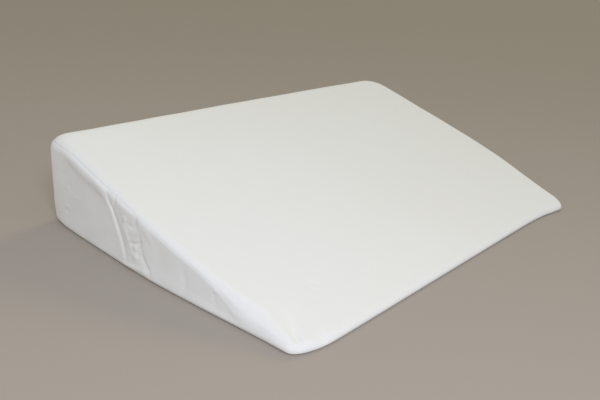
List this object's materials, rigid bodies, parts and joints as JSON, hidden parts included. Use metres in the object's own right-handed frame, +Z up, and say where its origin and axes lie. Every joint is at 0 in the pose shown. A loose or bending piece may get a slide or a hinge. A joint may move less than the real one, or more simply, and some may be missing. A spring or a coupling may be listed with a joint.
{
  "type": "wedge pillow",
  "caption": "White fabric-covered wedge pillow: a filled body with a smooth slope rising from a thin edge to a tall end, with soft folds on its side.",
  "frame": {"origin": "centre of the bounding box, at the level of the flat underside", "axes": "+X along the width, +Y up the slope from the thin edge to the tall end, +Z up"},
  "size_m": [0.8126, 0.5146, 0.1354],
  "materials": {
    "cover": "matt woven cotton, off-white"
  },
  "bodies": {
    "root": {"wedge_pillow": "cover"}
  },
  "joints": []
}
